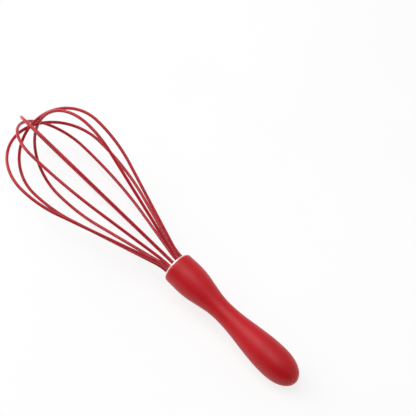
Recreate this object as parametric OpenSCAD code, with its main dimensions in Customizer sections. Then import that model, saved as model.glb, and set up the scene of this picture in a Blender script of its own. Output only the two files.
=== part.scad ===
// Balloon whisk: five silicone-covered spring wire loops in a soft silicone grip.
// Built about its own axis, mouth of the grip at z = 0, crown upwards, then laid down as it rests on a table:
// crown to +X, standing on two wires and the round end of the grip, underside at z = 0.

/* [Balloon] */
// Height of the outermost crown above the mouth of the grip, mm
crown_height = 169.6; // [160:0.1:185]
// Mean radius of the crown arcs, mm
balloon_radius = 38.2; // [35:0.1:42]
// Drop from one crown to the next one nested inside it, mm
crown_step = 2.6; // [2.6:0.1:3.2]
// Mean radius of the long arcs between the crowns and the straight legs, mm
side_radius = 147; // [120:1:170]
// How far the loops stray from an even set, 0 for a perfectly even balloon
stray = 1; // [0:0.1:1]

/* [Wire] */
// Diameter of the silicone skin over the wire, mm
skin_diameter = 2.4; // [2:0.05:2.4]
// Diameter of the spring wire, mm
wire_diameter = 1.3; // [1:0.1:1.5]
// Radius of the circle on which the ten legs enter the plug, mm
root_radius = 7.6; // [7.2:0.1:7.7]
// Height above the mouth of the point where a leg's straight line meets its upright root, mm
corner_at = 7.4; // [6:0.2:12]

/* [Grip] */
// Length of the grip from its mouth to its round end, mm
grip_length = 123; // [115:1:140]
// Largest radius near the mouth, mm
head_radius = 12.7; // [12.5:0.1:14]
// Radius of the waist, mm
waist_radius = 7.9; // [7.5:0.1:9]
// Largest radius of the bulb, mm
bulb_radius = 12.5; // [11.5:0.1:14]
// Distance from the mouth to the waist, mm
waist_at = 48.5; // [46:0.5:54]
// Distance from the mouth to the widest part of the bulb, mm
bulb_at = 99.5; // [94:0.5:105]

/* [Core] */
// Outer radius of the cup that holds the plug, mm
cup_radius = 10.6; // [10.5:0.05:10.7]
// Outer radius of the tube below the cup, mm
tube_radius = 5.6; // [5:0.1:6]
// Wall of the cup and the tube, mm
core_wall = 1.3; // [1.1:0.05:1.4]

/* [Lay] */
// Turn about the whisk's own axis as it lies on the table, degrees
lay_turn = -24.15; // [-180:0.05:180]

/* [Hidden] */
$fn = 96;
gap = 0.03;
joint_gap = 0.02;
bead_ratio = 1.02;
loops = 5;
first_azimuth = 93;
stray_turn = [0.4, 8.2, 17.5, 7.3, 5.4];
stray_radius = [-2.9, -3.1, 3.1, -1.1, 2.1];
stray_drop = [0, 0, 4.4, 3.9, 4];
stray_shift = [-3.3, -3.5, 7.6, -1.4, -4.1];
stray_lean = [-0.4, -0.8, 0.4, 2.5, 0.1];
stray_right = [0.13, 0.77, -0.44, -0.1, -0.1];
stray_left = [-0.54, 0.55, 0.3, -0.1, -0.52];
shortest_leg = 30;
cup_depth = 22;
plug_depth = 12.5;
anchor_top = 13;
wire_end = 21;
plug_proud = 0.4;
ring_proud = 0.9;
ring_depth = 2;
ring_lip = 0.7;
ring_chamfer = 0.3;
ring_overlap = 0.2;
cone_length = 20;
end_wall = 12;
cone_wall_step = 0.5;
cap_rim = 2;
cap_reach = 6;
over = 1;
head_at = 13;
mouth_taper = 0.2;
mouth_corner = 2;
end_fullness = 2.35;
outline_steps = 40;
end_step = 6;
steepest_tip = 15;
tip_rounds = 18;
tube_end = grip_length - end_wall;
plug_radius = cup_radius - core_wall - gap;
ring_radius = grip_r(mouth_corner) - mouth_corner + ring_overlap;
bulb_stations = [80:0.5:grip_length];

function azimuth(i) = first_azimuth - 180 / loops * i + stray * stray_turn[i];
function crown_r(i) = balloon_radius + stray * stray_radius[i];
function shift(i) = stray * stray_shift[i];
function lean(i) = stray * stray_lean[i];
function top(i) = crown_height - crown_step * i - stray * stray_drop[i];
// Height of the crown's centre above the legs' corner, in the loop's own leaning plane
function centre(i) = (top(i) - corner_at) / cos(lean(i)) - crown_r(i);
// How far the loop's widest point stands out from the leg's root, on side s
function flare(i, s) = s * shift(i) + crown_r(i) - root_radius;
// Radius of the long side arc, never so large that the straight leg shrinks away
function side_r(i, s) = min(
    side_radius * (1 + stray * (s > 0 ? stray_right[i] : stray_left[i])),
    (pow(flare(i, s), 2) + pow(centre(i), 2) - pow(shortest_leg, 2)) / (2 * flare(i, s)));
function side_x(i, s) = s * shift(i) - side_r(i, s) + crown_r(i);
function reach(i, s) = norm([root_radius - side_x(i, s), centre(i)]);
// Angle of a leg to the axis: the line from the corner that touches the side arc
function leg_angle(i, s) = atan2(centre(i), root_radius - side_x(i, s)) - acos(side_r(i, s) / reach(i, s));
function leg_length(i, s) =
    (side_x(i, s) - root_radius) * sin(leg_angle(i, s)) + centre(i) * cos(leg_angle(i, s));
// The bend starts at the plug's face and turns the leg from upright into its own direction
trim = corner_at - plug_proud;
function bend_angle(i, s) = acos(cos(leg_angle(i, s)) * cos(lean(i)));
function bend_turn(i, s) = atan2(cos(leg_angle(i, s)) * sin(lean(i)), s * sin(leg_angle(i, s)));
function bend_r(i, s) = trim / tan(bend_angle(i, s) / 2);

// Points along a loop's centre line, about the whisk's axis, used only to find how the whisk lies
function plane_point(i, x, z) = [
    x * cos(azimuth(i)) - z * sin(lean(i)) * sin(azimuth(i)),
    x * sin(azimuth(i)) + z * sin(lean(i)) * cos(azimuth(i)),
    corner_at + z * cos(lean(i))];
function loop_points(i) = concat(
    [for (a = [0:1:180]) plane_point(i, shift(i) + crown_r(i) * cos(a), centre(i) + crown_r(i) * sin(a))],
    [for (s = [-1, 1], a = [-14:0.5:-0.5]) plane_point(i,
        s * (side_x(i, s) + side_r(i, s) * cos(a)), centre(i) + side_r(i, s) * sin(a))]);
wire_points = [for (i = [0:loops - 1]) each loop_points(i)];

// Radius of the grip at distance d from the mouth: head, waist, bulb and round end
function blend(a, b, q) = a + (b - a) * (1 - cos(180 * q)) / 2;
function grip_r(d) =
    d < head_at ? head_radius - mouth_taper * pow((head_at - d) / (head_at - mouth_corner), 2)
    : d < waist_at ? blend(head_radius, waist_radius, (d - head_at) / (waist_at - head_at))
    : d < bulb_at ? blend(waist_radius, bulb_radius, (d - waist_at) / (bulb_at - waist_at))
    : bulb_radius * sqrt(max(0, 1 - pow((d - bulb_at) / (grip_length - bulb_at), end_fullness)));

// A point once the whisk is turned by t about its axis, laid along X and tipped nose-up by e
function across(p, t) = p[0] * sin(t) + p[1] * cos(t);
function raised(p, t) = p[1] * sin(t) - p[0] * cos(t);
function height(p, t, e) = p[2] * sin(e) + raised(p, t) * cos(e);
function forward(p, t, e) = p[2] * cos(e) - raised(p, t) * sin(e);
function balloon_low(t, e) = min([for (p = wire_points) height(p, t, e)]) - skin_diameter / 2;
function grip_low(e) = min([for (d = bulb_stations) -d * sin(e) - grip_r(d) * cos(e)]);
function tip(t, lo, hi, n) =
    n == 0 ? (lo + hi) / 2
    : balloon_low(t, (lo + hi) / 2) > grip_low((lo + hi) / 2) ? tip(t, lo, (lo + hi) / 2, n - 1)
    : tip(t, (lo + hi) / 2, hi, n - 1);
turned = 90 + lay_turn;
lay_tip = tip(turned, 0, steepest_tip, tip_rounds);
lay_lift = -grip_low(lay_tip);
lay_front = max([for (p = wire_points) forward(p, turned, lay_tip)]) + skin_diameter / 2;
lay_back = min([for (d = bulb_stations, s = [-1, 1])
    -d * cos(lay_tip) - s * grip_r(d) * sin(lay_tip)]);
lay_left = max([for (p = wire_points) across(p, turned)]);
lay_right = min([for (p = wire_points) across(p, turned)]);

module laid() {
    translate([-(lay_front + lay_back) / 2, -(lay_left + lay_right) / 2, lay_lift])
        rotate([0, -lay_tip, 0]) rotate([0, 90, 0]) rotate([0, 0, turned]) children();
}

// Round bar bent to a circular arc in the XZ plane, from angle a over sweep w, stopping short at both ends
module arc_bar(radius, a, w, r) {
    short = joint_gap / radius * 180 / PI;
    rotate([90, 0, 0]) rotate_extrude(start = a + short, angle = w - 2 * short)
        translate([radius, 0]) circle(r);
}

// Straight round bar along Z from height a to height b, stopping a little short at each end
module rod(a, b, r, low = joint_gap) {
    translate([0, 0, a + low]) cylinder(r = r, h = b - a - low - joint_gap);
}

// Very slight bead that closes the joint between two lengths of bar
module bead(r) {
    sphere(r = r * bead_ratio);
}

// A whole loop as a round bar of radius r, its upright ends running down to depth d
module loop_bar(i, r, d) {
    rotate([0, 0, azimuth(i)]) {
        for (s = [-1, 1]) translate([s * root_radius, 0, 0]) {
            rod(-d, plug_proud, r, 0);
            translate([0, 0, plug_proud]) {
                bead(r);
                rotate([0, 0, bend_turn(i, s)]) translate([bend_r(i, s), 0, 0])
                    arc_bar(bend_r(i, s), 180 - bend_angle(i, s), bend_angle(i, s), r);
            }
        }
        translate([0, 0, corner_at]) rotate([-lean(i), 0, 0]) {
            for (s = [-1, 1]) {
                translate([s * root_radius, 0, 0]) rotate([0, s * leg_angle(i, s), 0]) {
                    translate([0, 0, trim]) bead(r);
                    rod(trim, leg_length(i, s), r);
                    translate([0, 0, leg_length(i, s)]) bead(r);
                }
                mirror([s < 0 ? 1 : 0, 0, 0]) translate([side_x(i, s), 0, centre(i)])
                    arc_bar(side_r(i, s), -leg_angle(i, s), leg_angle(i, s), r);
                translate([shift(i) + s * crown_r(i), 0, centre(i)]) bead(r);
            }
            translate([shift(i), 0, centre(i)]) arc_bar(crown_r(i), 0, 180, r);
        }
    }
}

module sleeve(i) {
    color("firebrick") laid() difference() {
        loop_bar(i, skin_diameter / 2, plug_depth);
        loop_bar(i, wire_diameter / 2 + gap, plug_depth + over);
    }
}

module wire(i) {
    color("silver") laid() loop_bar(i, wire_diameter / 2, wire_end);
}

module sleeve_1() { sleeve(0); }
module sleeve_2() { sleeve(1); }
module sleeve_3() { sleeve(2); }
module sleeve_4() { sleeve(3); }
module sleeve_5() { sleeve(4); }
module wire_1() { wire(0); }
module wire_2() { wire(1); }
module wire_3() { wire(2); }
module wire_4() { wire(3); }
module wire_5() { wire(4); }

module leg_holes(r, from, to) {
    for (i = [0:loops - 1], s = [-1, 1])
        rotate([0, 0, azimuth(i)]) translate([s * root_radius, 0, -to]) cylinder(r = r, h = to - from);
}

// Soft silicone grip, closed at its round end, open at the mouth
module grip() {
    color("firebrick") laid() difference() {
        rotate_extrude() polygon(concat(
            [[0, 0], [ring_radius, 0]],
            [for (a = [75:-15:0]) [
                grip_r(mouth_corner) + mouth_corner * (cos(a) - 1), mouth_corner * (sin(a) - 1)]],
            [for (k = [1:outline_steps - 1])
                let (d = mouth_corner + (bulb_at - mouth_corner) * k / outline_steps) [grip_r(d), -d]],
            [for (a = [0:end_step:90 - end_step])
                let (d = bulb_at + (grip_length - bulb_at) * sin(a)) [grip_r(d), -d]],
            [[0, -grip_length]]));
        translate([0, 0, -ring_depth]) cylinder(r = ring_radius - ring_lip + gap, h = ring_depth + over);
        translate([0, 0, -cup_depth - gap]) cylinder(r = cup_radius + gap, h = cup_depth + over);
        translate([0, 0, -cup_depth - cone_length - gap])
            cylinder(r1 = tube_radius + gap, r2 = cup_radius + gap, h = cone_length);
        translate([0, 0, -tube_end - cap_rim - gap]) cylinder(r = tube_radius + gap, h = tube_end);
    }
}

// Rigid core: cup for the plug, cone and tube, open right through
module handle_core() {
    color("dimgray") laid() rotate_extrude() polygon([
        [cup_radius - core_wall, -ring_depth], [cup_radius, -ring_depth], [cup_radius, -cup_depth],
        [tube_radius, -cup_depth - cone_length], [tube_radius, -tube_end],
        [tube_radius - core_wall, -tube_end],
        [tube_radius - core_wall, -cup_depth - cone_length - cone_wall_step],
        [cup_radius - core_wall, -cup_depth - cone_wall_step]]);
}

// Stepped cap that closes the far end of the tube
module core_cap() {
    color("dimgray") laid() translate([0, 0, -tube_end]) {
        translate([0, 0, -cap_rim]) cylinder(r = tube_radius, h = cap_rim - gap);
        translate([0, 0, -cap_rim / 2])
            cylinder(r = tube_radius - core_wall - gap, h = cap_rim / 2 + cap_reach);
    }
}

// Satin steel ring that closes the mouth round the plug
module end_ring() {
    color("gainsboro") laid() rotate_extrude() polygon([
        [plug_radius + 2 * gap, -ring_depth + gap], [ring_radius - ring_lip, -ring_depth + gap],
        [ring_radius - ring_lip, gap], [ring_radius, gap], [ring_radius, ring_proud - ring_chamfer],
        [ring_radius - ring_chamfer, ring_proud], [plug_radius + 2 * gap + ring_chamfer, ring_proud],
        [plug_radius + 2 * gap, ring_proud - ring_chamfer]]);
}

// Plug that spaces the ten legs evenly across the mouth
module wire_plug() {
    color("whitesmoke") laid() difference() {
        translate([0, 0, -plug_depth]) cylinder(r = plug_radius, h = plug_depth + plug_proud);
        leg_holes(skin_diameter / 2 + gap, -over, plug_depth + over);
    }
}

// Block below the plug in which the bare wire ends are held
module wire_anchor() {
    color("slategray") laid() difference() {
        translate([0, 0, -cup_depth]) cylinder(r = plug_radius, h = cup_depth - anchor_top);
        leg_holes(wire_diameter / 2 + gap, anchor_top - over, wire_end + gap);
    }
}

grip();
handle_core();
core_cap();
end_ring();
wire_plug();
wire_anchor();
sleeve_1();
sleeve_2();
sleeve_3();
sleeve_4();
sleeve_5();
wire_1();
wire_2();
wire_3();
wire_4();
wire_5();
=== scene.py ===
import math

import bpy
from mathutils import Matrix, Vector


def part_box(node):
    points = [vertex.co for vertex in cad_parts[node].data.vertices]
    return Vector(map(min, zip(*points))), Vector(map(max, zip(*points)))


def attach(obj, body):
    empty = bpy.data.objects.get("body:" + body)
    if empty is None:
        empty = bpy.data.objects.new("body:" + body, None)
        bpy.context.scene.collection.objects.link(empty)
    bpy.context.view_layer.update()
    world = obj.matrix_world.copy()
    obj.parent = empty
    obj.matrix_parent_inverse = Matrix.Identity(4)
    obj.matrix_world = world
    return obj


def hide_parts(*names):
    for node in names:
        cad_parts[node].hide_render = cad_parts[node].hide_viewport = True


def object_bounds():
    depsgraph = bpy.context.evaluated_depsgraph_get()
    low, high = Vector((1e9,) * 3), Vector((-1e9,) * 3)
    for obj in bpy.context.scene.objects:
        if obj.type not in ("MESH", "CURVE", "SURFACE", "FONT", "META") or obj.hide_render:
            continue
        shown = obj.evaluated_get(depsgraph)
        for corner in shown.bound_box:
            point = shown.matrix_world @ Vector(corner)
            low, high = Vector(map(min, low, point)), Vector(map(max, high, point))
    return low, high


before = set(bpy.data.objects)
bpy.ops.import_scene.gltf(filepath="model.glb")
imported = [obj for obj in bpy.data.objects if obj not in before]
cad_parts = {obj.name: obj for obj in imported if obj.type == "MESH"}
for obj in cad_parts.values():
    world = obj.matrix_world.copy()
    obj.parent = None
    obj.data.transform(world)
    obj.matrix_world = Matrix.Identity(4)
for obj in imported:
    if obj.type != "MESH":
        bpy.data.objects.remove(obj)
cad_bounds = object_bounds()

MM = 0.001

# ---- design sizes shared with the CAD, in millimetres and degrees ----
# Loops: azimuth of the first one, and the arcs that they are made of
LOOPS = 5
FIRST_AZIMUTH = 93.0
CROWN_HEIGHT = 169.6
CROWN_R = 38.2
CROWN_STEP = 2.6
SIDE_R = 147.0
# Legs: the circle on which they enter the plug, the corner above each root, the least straight length
ROOT_R = 7.6
CORNER_AT = 7.4
SHORTEST_LEG = 30.0
# How each loop strays from an even set, one value a loop; the side arcs stray on both sides
STRAY_TURN = (0.4, 8.2, 17.5, 7.3, 5.4)
STRAY_R = (-2.9, -3.1, 3.1, -1.1, 2.1)
STRAY_DROP = (0, 0, 4.4, 3.9, 4)
STRAY_SHIFT = (-3.3, -3.5, 7.6, -1.4, -4.1)
STRAY_LEAN = (-0.4, -0.8, 0.4, 2.5, 0.1)
STRAY_SIDE = {1: (0.13, 0.77, -0.44, -0.1, -0.1), -1: (-0.54, 0.55, 0.3, -0.1, -0.52)}
# Silicone skin of the loops
SKIN_R = 1.2
BORE_R = 0.68
# Grip: radii of head, waist and bulb, and where they are
GRIP_LENGTH = 123.0
HEAD_R = 12.7
HEAD_AT = 13.0
WAIST_R = 7.9
WAIST_AT = 48.5
BULB_R = 12.5
BULB_AT = 99.5
MOUTH_TAPER = 0.2
MOUTH_CORNER = 2.0
END_FULLNESS = 2.35
# Stepped bore of the grip, which holds the core
CUP_R = 10.6
CUP_DEPTH = 22.0
CONE_LENGTH = 20.0
TUBE_R = 5.6
END_WALL = 12.0
CAP_RIM = 2.0
# Plug and ring in the mouth
PLUG_R = 9.27
PLUG_DEPTH = 12.5
PLUG_PROUD = 0.4
RING_R = 10.7
RING_LIP = 0.7
RING_DEPTH = 2.0
RING_PROUD = 0.9
RING_EDGE = 0.35
GAP = 0.03
# How the whisk lies: turned about its own axis, then tipped nose-up
LAY_TURN = 90 - 24.15
LAY_TIP = 6.1335

# ---- fineness of the meshes ----
GRIP_SEGMENTS = 144
RING_SEGMENTS = 160
SKIN_SEGMENTS = 32
BODY_STEPS = 96
END_STEPS = 40
EDGE_STEPS = 14
RING_EDGE_STEPS = 6
BEND_STEPS = 16
LEG_STEPS = 24
SIDE_STEPS = 48
CROWN_STEPS = 140

# ---- the whisk's own frame (mouth of the grip at the origin, crown along +Z) within the row frame ----
lay = (Matrix.Rotation(math.radians(-LAY_TIP), 4, "Y") @ Matrix.Rotation(math.radians(90), 4, "Y")
       @ Matrix.Rotation(math.radians(LAY_TURN), 4, "Z"))
plug_low, plug_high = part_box("wire_plug")
mouth = (plug_low + plug_high) / 2 - lay @ Vector((0, 0, (PLUG_PROUD - PLUG_DEPTH) / 2 * MM))
OWN = Matrix.Translation(mouth) @ lay


def own_direction(x, y, z):
    return (lay.to_3x3() @ Vector((x, y, z))).normalized()


def add_piece(name, verts, faces, material, node, smooth_angle):
    """A mesh drawn in millimetres about the whisk's own axis, laid in the row frame for one CAD node."""
    mesh = bpy.data.meshes.new(name)
    mesh.from_pydata([OWN @ (Vector(v) * MM) for v in verts], [], faces)
    mesh.update()
    mesh.shade_smooth()
    mesh.set_sharp_from_angle(angle=math.radians(smooth_angle))
    mesh.materials.append(material)
    piece = bpy.data.objects.new(name, mesh)
    bpy.context.scene.collection.objects.link(piece)
    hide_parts(node)
    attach(piece, "root")


# ---- materials ----
class Nodes:
    """A node material with its Principled shader, and coordinates about the whisk's own axis."""

    def __init__(self, name):
        self.material = bpy.data.materials.new(name)
        self.material.use_nodes = True
        self.nodes = self.material.node_tree.nodes
        self.links = self.material.node_tree.links
        self.shader = self.nodes["Principled BSDF"]
        upright = self.nodes.new("ShaderNodeMapping")
        back = OWN.inverted()
        upright.inputs["Location"].default_value = back.translation
        upright.inputs["Rotation"].default_value = back.to_euler()
        self.links.new(self.nodes.new("ShaderNodeTexCoord").outputs["Object"], upright.inputs["Vector"])
        self.coords = upright.outputs["Vector"]

    def set(self, **values):
        """Fixed values on the shader's own sockets."""
        for socket, value in values.items():
            self.shader.inputs[socket.replace("_", " ")].default_value = value

    def link(self, source, socket):
        self.links.new(source, self.shader.inputs[socket])

    def fill(self, socket, value):
        """Put a number, a colour or another node's output into a socket."""
        if isinstance(value, float):
            socket.default_value = value
        elif isinstance(value, tuple):
            socket.default_value = (*value, 1)
        else:
            self.links.new(value, socket)

    def noise(self, scale, detail=4.0, roughness=0.5, stretch=None):
        coords = self.coords
        if stretch:
            mapping = self.nodes.new("ShaderNodeMapping")
            mapping.inputs["Scale"].default_value = stretch
            self.links.new(coords, mapping.inputs["Vector"])
            coords = mapping.outputs["Vector"]
        node = self.nodes.new("ShaderNodeTexNoise")
        node.inputs["Scale"].default_value = scale
        node.inputs["Detail"].default_value = detail
        node.inputs["Roughness"].default_value = roughness
        self.links.new(coords, node.inputs["Vector"])
        return node.outputs["Fac"]

    def ramp(self, source, *stops):
        node = self.nodes.new("ShaderNodeValToRGB")
        elements = node.color_ramp.elements
        while len(elements) < len(stops):
            elements.new(0.5)
        for element, (position, colour) in zip(elements, stops):
            element.position = position
            element.color = (*colour, 1)
        self.links.new(source, node.inputs["Fac"])
        return node.outputs["Color"]

    def span(self, source, from_low, from_high, low, high):
        """Smoothly map one range of values onto another."""
        node = self.nodes.new("ShaderNodeMapRange")
        node.interpolation_type = "SMOOTHSTEP"
        limits = {"From Min": from_low, "From Max": from_high, "To Min": low, "To Max": high}
        for socket, value in limits.items():
            node.inputs[socket].default_value = value
        self.links.new(source, node.inputs["Value"])
        return node.outputs["Result"]

    def combine(self, operation, a, b):
        node = self.nodes.new("ShaderNodeMath")
        node.operation = operation
        self.fill(node.inputs[0], a)
        self.fill(node.inputs[1], b)
        return node.outputs["Value"]

    def mix(self, fac, a, b):
        node = self.nodes.new("ShaderNodeMix")
        node.data_type = "RGBA"
        self.links.new(fac, node.inputs["Factor"])
        self.fill(node.inputs[6], a)
        self.fill(node.inputs[7], b)
        return node.outputs[2]

    def height(self):
        """Distance along the whisk's own axis, in metres."""
        node = self.nodes.new("ShaderNodeSeparateXYZ")
        self.links.new(self.coords, node.inputs["Vector"])
        return node.outputs["Z"]

    def bump(self, *layers):
        """Each layer is (height, strength, distance in metres); later layers lie on earlier ones."""
        under = None
        for source, strength, distance in layers:
            node = self.nodes.new("ShaderNodeBump")
            node.inputs["Strength"].default_value = strength
            node.inputs["Distance"].default_value = distance
            self.links.new(source, node.inputs["Height"])
            if under:
                self.links.new(under, node.inputs["Normal"])
            under = node.outputs["Normal"]
        self.link(under, "Normal")


def make_grip_silicone():
    """Deep red soft-touch silicone: matt grain, faint clouding, paler and shinier where it is rubbed."""
    m = Nodes("grip_silicone")
    clouds = m.ramp(m.noise(26, 3), (0.32, (0.46, 0.0016, 0.0062)), (0.5, (0.50, 0.0023, 0.0080)),
                    (0.7, (0.54, 0.0036, 0.0110)))
    z = m.height()
    mouth_edge = m.span(z, -0.0035, -0.0002, 0.0, 1.0)
    round_end = m.span(z, -0.119, -0.1238, 0.0, 1.0)
    patches = m.span(m.noise(420, 5, 0.65), 0.42, 0.62, 0.0, 1.0)
    rubbed = m.combine("MULTIPLY", m.combine("MAXIMUM", mouth_edge, round_end), patches)
    m.link(m.mix(rubbed, clouds, (0.60, 0.030, 0.040)), "Base Color")
    rough = m.combine("ADD", m.span(m.noise(150, 5, 0.6), 0.3, 0.7, 0.40, 0.50),
                      m.span(m.noise(1400, 2), 0.3, 0.7, -0.03, 0.03))
    m.link(m.combine("SUBTRACT", rough, m.combine("MULTIPLY", rubbed, 0.10)), "Roughness")
    m.bump((m.noise(60, 2), 0.10, 0.0004), (m.noise(2400, 3, 0.55), 0.30, 0.00004))
    m.set(IOR=1.41, Sheen_Weight=0.04, Sheen_Roughness=0.32, Sheen_Tint=(1.0, 0.74, 0.74, 1))
    return m.material


def make_loop_silicone():
    """The same red on the wires, but smoother: satin, with fine streaks along it and scuffs at the crown."""
    m = Nodes("loop_silicone")
    clouds = m.ramp(m.noise(48, 3), (0.32, (0.39, 0.0060, 0.0155)), (0.5, (0.44, 0.0085, 0.0200)),
                    (0.7, (0.49, 0.0120, 0.0250)))
    near_crown = m.span(m.height(), 0.120, 0.170, 0.15, 1.0)
    scuffed = m.combine("MULTIPLY", near_crown, m.span(m.noise(650, 5, 0.65), 0.50, 0.68, 0.0, 1.0))
    m.link(m.mix(scuffed, clouds, (0.50, 0.050, 0.060)), "Base Color")
    rough = m.span(m.noise(700, 4, 0.6, (1, 1, 0.15)), 0.3, 0.7, 0.14, 0.22)
    m.link(m.combine("ADD", rough, m.combine("MULTIPLY", scuffed, 0.14)), "Roughness")
    m.bump((m.noise(900, 2, 0.5, (1, 1, 0.1)), 0.15, 0.00003), (m.noise(4200, 2), 0.15, 0.00001))
    m.set(IOR=1.38, Sheen_Weight=0.02, Sheen_Roughness=0.3, Sheen_Tint=(1.0, 0.74, 0.74, 1))
    return m.material


def make_steel(name, dark, light, rough_low, rough_high, brush):
    """Steel with fine brush lines, which show in its roughness and its bump."""
    m = Nodes(name)
    m.link(m.ramp(m.noise(240, 4, 0.6), (0.3, dark), (0.7, light)), "Base Color")
    lines = m.noise(*brush)
    m.link(m.span(lines, 0.3, 0.7, rough_low, rough_high), "Roughness")
    m.bump((lines, 0.2, 0.00002))
    m.set(Metallic=1.0)
    return m.material


def make_plastic(name, dark, light, rough_low, rough_high, grain):
    """Moulded plastic with faint sink marks under a fine grain."""
    m = Nodes(name)
    m.link(m.ramp(m.noise(80, 4), (0.3, dark), (0.7, light)), "Base Color")
    fine = m.noise(grain, 3)
    m.link(m.span(fine, 0.3, 0.7, rough_low, rough_high), "Roughness")
    m.bump((m.noise(120, 2), 0.1, 0.0003), (fine, 0.25, 0.00004))
    m.set(IOR=1.5)
    return m.material


def make_pale_floor():
    """Pale matt table that glows a little, so that what lies on it keeps only a faint shadow."""
    m = Nodes("pale_floor")
    patches = m.noise(5, 3)
    m.link(m.ramp(patches, (0.3, (0.18, 0.18, 0.18)), (0.7, (0.20, 0.20, 0.20))), "Base Color")
    m.link(m.span(patches, 0.3, 0.7, 0.80, 0.90), "Roughness")
    m.set(Specular_IOR_Level=0.2, Emission_Color=(1, 1, 1, 1), Emission_Strength=0.79)
    return m.material


grip_silicone = make_grip_silicone()
loop_silicone = make_loop_silicone()
ring_steel = make_steel("ring_steel", (0.90, 0.86, 0.82), (0.97, 0.93, 0.89), 0.46, 0.58,
                        (900, 3, 0.6, (0.2, 0.2, 6)))
spring_steel = make_steel("spring_steel", (0.46, 0.46, 0.48), (0.64, 0.64, 0.66), 0.24, 0.40, (2200, 3, 0.6))
plug_plastic = make_plastic("plug_plastic", (0.70, 0.62, 0.58), (0.80, 0.73, 0.69), 0.36, 0.50, 1500)
core_plastic = make_plastic("core_plastic", (0.045, 0.045, 0.050), (0.070, 0.070, 0.075), 0.45, 0.60, 1200)
anchor_resin = make_plastic("anchor_resin", (0.15, 0.15, 0.16), (0.22, 0.22, 0.23), 0.35, 0.52, 900)


# ---- turned pieces: the grip and the ring in its mouth ----
def ease(a, b, q):
    return a + (b - a) * (1 - math.cos(math.pi * q)) / 2


def grip_radius(d):
    """Outer radius of the grip at distance d from its mouth: head, waist, bulb and round end."""
    if d < HEAD_AT:
        return HEAD_R - MOUTH_TAPER * ((HEAD_AT - d) / (HEAD_AT - MOUTH_CORNER)) ** 2
    if d < WAIST_AT:
        return ease(HEAD_R, WAIST_R, (d - HEAD_AT) / (WAIST_AT - HEAD_AT))
    if d < BULB_AT:
        return ease(WAIST_R, BULB_R, (d - WAIST_AT) / (BULB_AT - WAIST_AT))
    return BULB_R * math.sqrt(max(0.0, 1 - ((d - BULB_AT) / (GRIP_LENGTH - BULB_AT)) ** END_FULLNESS))


def revolve(profile, count):
    """Solid of revolution about Z from an outline of (radius, z) that runs outwards and then up."""
    verts, rings, faces = [], [], []
    for radius, z in profile:
        n = 1 if radius == 0 else count
        angles = [2 * math.pi * k / count for k in range(n)]
        rings.append(range(len(verts), len(verts) + n))
        verts += [(radius * math.cos(a), radius * math.sin(a), z) for a in angles]
    closed = profile[0][0] > 0
    for j in range(len(rings) if closed else len(rings) - 1):
        a, b = rings[j], rings[(j + 1) % len(rings)]
        for k in range(count):
            n = (k + 1) % count
            corners = [a[k % len(a)], a[n % len(a)], b[n % len(b)], b[k % len(b)]]
            faces.append(tuple(dict.fromkeys(corners)))
    return verts, faces


def arc(radius, z, r, start, end, steps):
    """Points of an arc of radius r, in degrees, about the point (radius, z) of an outline."""
    angles = [math.radians(start + (end - start) * k / steps) for k in range(steps + 1)]
    return [(radius + r * math.cos(a), z + r * math.sin(a)) for a in angles]


def build_grip():
    tube_floor = -(GRIP_LENGTH - END_WALL) - CAP_RIM - GAP
    tube_r = TUBE_R + GAP
    cup_r = CUP_R + GAP
    seat_r = RING_R - RING_LIP + GAP
    bore = [(0, tube_floor), (tube_r, tube_floor), (tube_r, -CUP_DEPTH - CONE_LENGTH - GAP),
            (cup_r, -CUP_DEPTH - GAP), (cup_r, -RING_DEPTH), (seat_r, -RING_DEPTH), (seat_r, 0)]
    edge = arc(grip_radius(MOUTH_CORNER) - MOUTH_CORNER, -MOUTH_CORNER, MOUTH_CORNER, 90, 0, EDGE_STEPS)
    body = [MOUTH_CORNER + (BULB_AT - MOUTH_CORNER) * k / BODY_STEPS for k in range(1, BODY_STEPS)]
    quarter = [math.pi / 2 * k / END_STEPS for k in range(END_STEPS)]
    end = [BULB_AT + (GRIP_LENGTH - BULB_AT) * math.sin(a) for a in quarter]
    outline = bore + edge + [(grip_radius(d), -d) for d in body + end] + [(0, -GRIP_LENGTH)]
    verts, faces = revolve(outline[::-1], GRIP_SEGMENTS)
    add_piece("grip_soft", verts, faces, grip_silicone, "grip", 35)


def build_mouth_ring():
    inner = PLUG_R + 2 * GAP
    body = RING_R - RING_LIP
    outline = [(inner, -RING_DEPTH + GAP), (body, -RING_DEPTH + GAP), (body, GAP), (RING_R, GAP)]
    outline += arc(RING_R - RING_EDGE, RING_PROUD - RING_EDGE, RING_EDGE, 0, 90, RING_EDGE_STEPS)
    outline += arc(inner + RING_EDGE, RING_PROUD - RING_EDGE, RING_EDGE, 90, 180, RING_EDGE_STEPS)
    verts, faces = revolve(outline, RING_SEGMENTS)
    add_piece("mouth_ring", verts, faces, ring_steel, "end_ring", 40)


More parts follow.
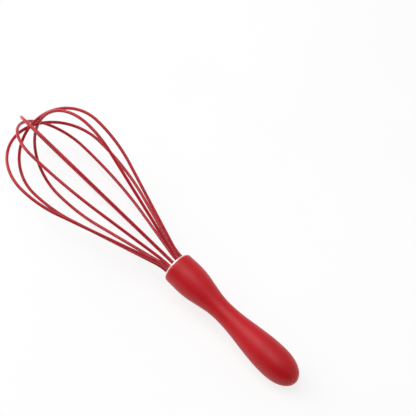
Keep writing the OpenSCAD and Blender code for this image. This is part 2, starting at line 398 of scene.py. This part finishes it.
# ---- loops ----
class Loop:
    """Centre line of one loop, before its turn: root, bend, straight leg, side arc and crown."""

    def __init__(self, i):
        self.lean = math.radians(STRAY_LEAN[i])
        self.normal = Vector((0, math.cos(self.lean), -math.sin(self.lean)))
        self.crown_r = CROWN_R + STRAY_R[i]
        self.shift = STRAY_SHIFT[i]
        top = CROWN_HEIGHT - CROWN_STEP * i - STRAY_DROP[i]
        self.centre = (top - CORNER_AT) / math.cos(self.lean) - self.crown_r
        self.side_r = {s: self.side_radius(s, SIDE_R * (1 + STRAY_SIDE[s][i])) for s in (1, -1)}

    def side_radius(self, s, wanted):
        """Radius of the side arc, never so large that the straight leg shrinks away."""
        flare = s * self.shift + self.crown_r - ROOT_R
        return min(wanted, (flare ** 2 + self.centre ** 2 - SHORTEST_LEG ** 2) / (2 * flare))

    def leaned(self, x, z):
        """A point of the loop's own leaning plane, z above the legs' corners."""
        return Vector((x, z * math.sin(self.lean), CORNER_AT + z * math.cos(self.lean)))

    def half(self, s):
        """Points from the foot of the leg on side s up to the crown's end."""
        side_r = self.side_r[s]
        side_x = s * self.shift - side_r + self.crown_r
        reach = math.hypot(ROOT_R - side_x, self.centre)
        leg = math.atan2(self.centre, ROOT_R - side_x) - math.acos(side_r / reach)
        length = (side_x - ROOT_R) * math.sin(leg) + self.centre * math.cos(leg)
        heading = Vector((s * math.sin(leg), math.cos(leg) * math.sin(self.lean),
                          math.cos(leg) * math.cos(self.lean)))
        outward = Vector((heading.x, heading.y, 0)).normalized()
        foot = Vector((s * ROOT_R, 0, 0))
        corner = foot + Vector((0, 0, CORNER_AT))
        trim = CORNER_AT - PLUG_PROUD
        bend = math.acos(heading.z)
        bend_r = trim / math.tan(bend / 2)

        points = [foot + Vector((0, 0, z)) for z in (-PLUG_DEPTH, -PLUG_DEPTH / 2)]
        for k in range(BEND_STEPS + 1):
            a = bend * k / BEND_STEPS
            rise = Vector((0, 0, PLUG_PROUD + bend_r * math.sin(a)))
            points.append(foot + outward * bend_r * (1 - math.cos(a)) + rise)
        for k in range(1, LEG_STEPS):
            points.append(corner + heading * (trim + (length - trim) * k / LEG_STEPS))
        for k in range(SIDE_STEPS + 1):
            a = leg * (k / SIDE_STEPS - 1)
            x = side_x + side_r * math.cos(a)
            points.append(self.leaned(s * x, self.centre + side_r * math.sin(a)))
        return points

    def path(self):
        """Points of the whole loop, from one foot over the crown to the other."""
        crown = []
        for k in range(1, CROWN_STEPS):
            a = math.pi * k / CROWN_STEPS
            x = self.shift + self.crown_r * math.cos(a)
            crown.append(self.leaned(x, self.centre + self.crown_r * math.sin(a)))
        return self.half(1) + crown + self.half(-1)[::-1]


def build_sleeve(i):
    """Hollow skin swept along loop i, its two ends closed by flat rims."""
    loop = Loop(i)
    turn = Matrix.Rotation(math.radians(FIRST_AZIMUTH - 180 / LOOPS * i + STRAY_TURN[i]), 3, "Z")
    path = [turn @ p for p in loop.path()]
    normal = turn @ loop.normal
    angles = [2 * math.pi * k / SKIN_SEGMENTS for k in range(SKIN_SEGMENTS)]
    verts, rings, faces = [], [], []
    for j, p in enumerate(path):
        ahead = (path[min(j + 1, len(path) - 1)] - path[max(j - 1, 0)]).normalized()
        u = (normal - ahead * ahead.dot(normal)).normalized()
        v = ahead.cross(u)
        row = []
        for r in (SKIN_R, BORE_R):
            row.append(range(len(verts), len(verts) + SKIN_SEGMENTS))
            verts += [tuple(p + (u * math.cos(a) + v * math.sin(a)) * r) for a in angles]
        rings.append(row)
    for k in range(SKIN_SEGMENTS):
        n = (k + 1) % SKIN_SEGMENTS
        for (out_a, in_a), (out_b, in_b) in zip(rings[:-1], rings[1:]):
            faces.append((out_a[k], out_a[n], out_b[n], out_b[k]))
            faces.append((in_a[n], in_a[k], in_b[k], in_b[n]))
        (out_a, in_a), (out_b, in_b) = rings[0], rings[-1]
        faces.append((out_a[n], out_a[k], in_a[k], in_a[n]))
        faces.append((out_b[k], out_b[n], in_b[n], in_b[k]))
    add_piece(f"loop_skin_{i + 1}", verts, faces, loop_silicone, f"sleeve_{i + 1}", 50)


build_grip()
build_mouth_ring()
for i in range(LOOPS):
    build_sleeve(i)

# ---- CAD nodes that stay: the pale plug in the mouth, and the pieces sealed inside ----
kept = {"wire_plug": plug_plastic, "handle_core": core_plastic, "core_cap": core_plastic,
        "wire_anchor": anchor_resin}
for i in range(LOOPS):
    kept[f"wire_{i + 1}"] = spring_steel
for node, material in kept.items():
    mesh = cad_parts[node].data
    mesh.materials.clear()
    mesh.materials.append(material)

# ---- floor, just under the whisk ----
FLOOR_HALF = 30.0
FLOOR_TILES = 30
under = cad_bounds[0][2] - 0.0001
ticks = [FLOOR_HALF * (2 * k / FLOOR_TILES - 1) for k in range(FLOOR_TILES + 1)]
across = FLOOR_TILES + 1
corners = [j * across + i for j in range(FLOOR_TILES) for i in range(FLOOR_TILES)]
floor_mesh = bpy.data.meshes.new("floor")
floor_mesh.from_pydata([(x, y, under) for y in ticks for x in ticks], [],
                       [(c, c + 1, c + across + 1, c + across) for c in corners])
floor_mesh.materials.append(make_pale_floor())
floor = bpy.data.objects.new("floor", floor_mesh)
bpy.context.scene.collection.objects.link(floor)

# ---- camera, at the photograph's viewing angle ----
# Angles of the whisk's axis: away from the camera at the crown, and across the picture
CROWN_AWAY = math.radians(14.853)
ACROSS_PICTURE = math.radians(43.524)
# Metres from the camera's plane to the mouth, and the mouth's place beside the line of sight
VIEW_DISTANCE = 1.0107
MOUTH_RIGHT = -0.02331
MOUTH_UP = -0.04306
along = own_direction(0, math.sin(CROWN_AWAY), math.cos(CROWN_AWAY))
aside = own_direction(-1, 0, 0)
to_camera = own_direction(0, math.cos(CROWN_AWAY), -math.sin(CROWN_AWAY))
right = aside * math.sin(ACROSS_PICTURE) - along * math.cos(ACROSS_PICTURE)
up = along * math.sin(ACROSS_PICTURE) + aside * math.cos(ACROSS_PICTURE)
camera_data = bpy.data.cameras.new("camera")
camera_data.sensor_width = 36.0
camera_data.lens = 118.35
camera = bpy.data.objects.new("camera", camera_data)
bpy.context.scene.collection.objects.link(camera)
place = Matrix.Translation(mouth + to_camera * VIEW_DISTANCE - right * MOUTH_RIGHT - up * MOUTH_UP)
camera.matrix_world = place @ Matrix((right, up, to_camera)).transposed().to_4x4()
bpy.context.scene.camera = camera

# ---- soft studio light: two wide softboxes, and a pale room that is dimmer low down behind the camera ----
SOFTBOX_AWAY = 1.5
SOFTBOX_WIDTH = 1.2
ROOM_LIGHT = 0.55
DIM_LIGHT = 0.05
middle = Vector((0, 0, 0.03))


def softbox(name, way, watts):
    """A round softbox in direction way from the whisk's middle, facing it."""
    data = bpy.data.lights.new(name, "AREA")
    data.shape = "DISK"
    data.size = SOFTBOX_WIDTH
    data.energy = watts
    lamp = bpy.data.objects.new(name, data)
    bpy.context.scene.collection.objects.link(lamp)
    turn = way.to_track_quat("Z", "Y").to_matrix().to_4x4()
    lamp.matrix_world = Matrix.Translation(middle + way.normalized() * SOFTBOX_AWAY) @ turn


softbox("overhead", to_camera * 0.76 + up * 0.60 - right * 0.14, 9)
softbox("crown_side", to_camera * 0.30 + along * 0.95, 12)

world = bpy.data.worlds.new("studio")
bpy.context.scene.world = world
world.use_nodes = True
nodes = world.node_tree.nodes
links = world.node_tree.links
facing = nodes.new("ShaderNodeVectorMath")
facing.operation = "DOT_PRODUCT"
links.new(nodes.new("ShaderNodeTexCoord").outputs["Generated"], facing.inputs[0])
facing.inputs[1].default_value = (to_camera * 0.72 - aside * 0.66 - along * 0.38).normalized()
room = nodes.new("ShaderNodeMapRange")
room.interpolation_type = "SMOOTHSTEP"
limits = {"From Min": 0.30, "From Max": 0.92, "To Min": ROOM_LIGHT, "To Max": DIM_LIGHT}
for socket, value in limits.items():
    room.inputs[socket].default_value = value
links.new(facing.outputs["Value"], room.inputs["Value"])
links.new(room.outputs["Result"], nodes["Background"].inputs["Strength"])
nodes["Background"].inputs["Color"].default_value = (1, 1, 1, 1)
bpy.context.scene.view_settings.view_transform = "Standard"
